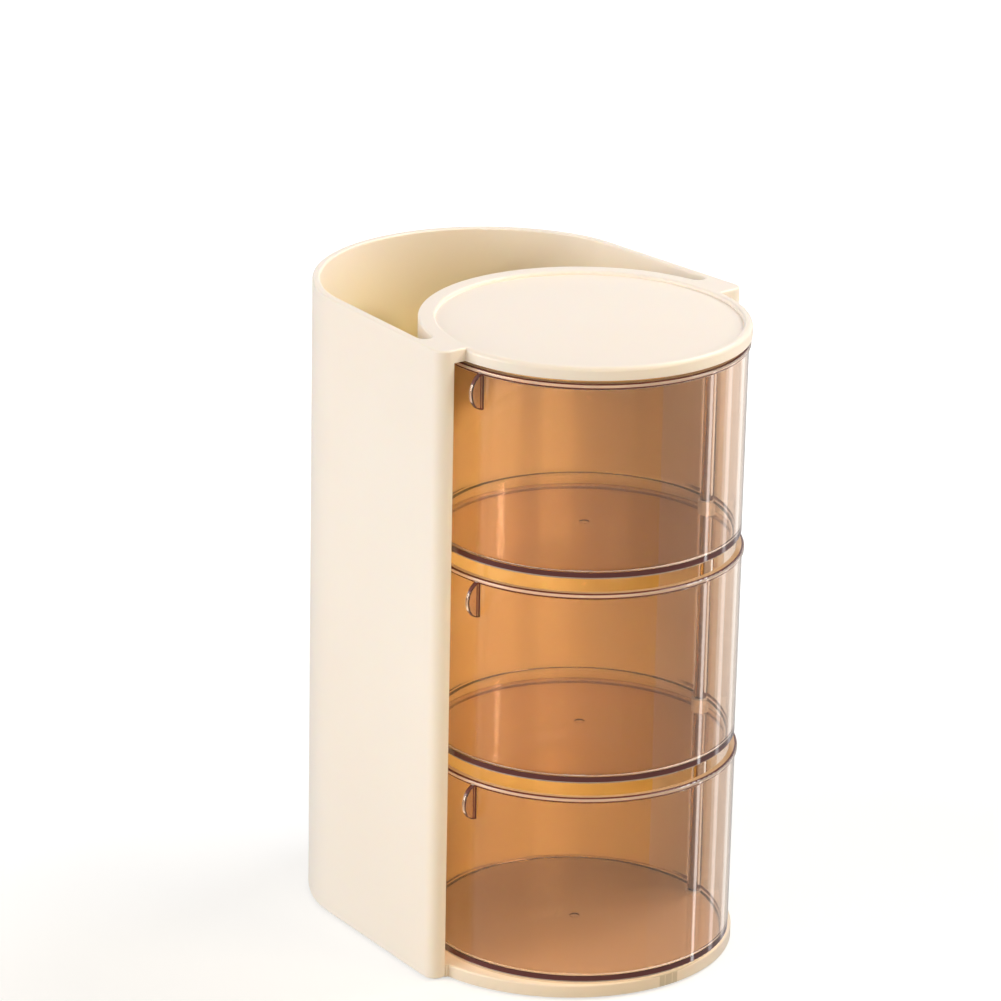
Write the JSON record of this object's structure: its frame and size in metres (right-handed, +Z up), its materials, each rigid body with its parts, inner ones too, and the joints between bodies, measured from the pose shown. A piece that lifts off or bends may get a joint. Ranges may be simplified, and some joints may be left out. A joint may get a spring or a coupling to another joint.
{
  "type": "rotating makeup organizer drawers",
  "caption": "Cream U-shaped desktop makeup organizer with an open brush well behind and clear round drawers that swing out on a side rod.",
  "frame": {"origin": "on the table, under the middle of the overall outline", "axes": "+Z up; -Y towards the open front of the drawers; +X towards the post with the swing rod"},
  "size_m": [0.1086, 0.1424, 0.1898],
  "materials": {
    "cream_shell": "satin injection-moulded cream plastic, glossy on the sunk round top",
    "clear_drawer": "glossy clear plastic with a faint smoky pink tint",
    "rod_steel": "ground steel rod",
    "screw_steel": "zinc-plated steel",
    "white_spacer": "slippery white plastic",
    "foot_rubber": "translucent grey-white rubber"
  },
  "bodies": {
    "housing_body": {"housing": "cream_shell", "base_plate": "cream_shell", "base_screws": "screw_steel", "pivot_rod": "rod_steel", "rod_plug": "cream_shell", "spacer_bottom": "white_spacer", "spacer_lower": "white_spacer", "spacer_upper": "white_spacer", "foot_front_left": "foot_rubber", "foot_front_right": "foot_rubber", "foot_rear_left": "foot_rubber", "foot_rear_right": "foot_rubber"},
    "drawer_bottom_body": {"drawer_bottom": "clear_drawer"},
    "drawer_middle_body": {"drawer_middle": "clear_drawer"},
    "drawer_top_body": {"drawer_top": "clear_drawer"}
  },
  "joints": [
    {"name": "drawer_bottom_swing", "type": "hinge", "parent": "housing_body", "child": "drawer_bottom_body", "pos_m": [0.0414, -0.0308, 0], "axis": [0, 0, 1], "range_deg": [0, 88]},
    {"name": "drawer_middle_swing", "type": "hinge", "parent": "housing_body", "child": "drawer_middle_body", "pos_m": [0.0414, -0.0308, 0], "axis": [0, 0, 1], "range_deg": [0, 88]},
    {"name": "drawer_top_swing", "type": "hinge", "parent": "housing_body", "child": "drawer_top_body", "pos_m": [0.0414, -0.0308, 0], "axis": [0, 0, 1], "range_deg": [0, 88]}
  ]
}
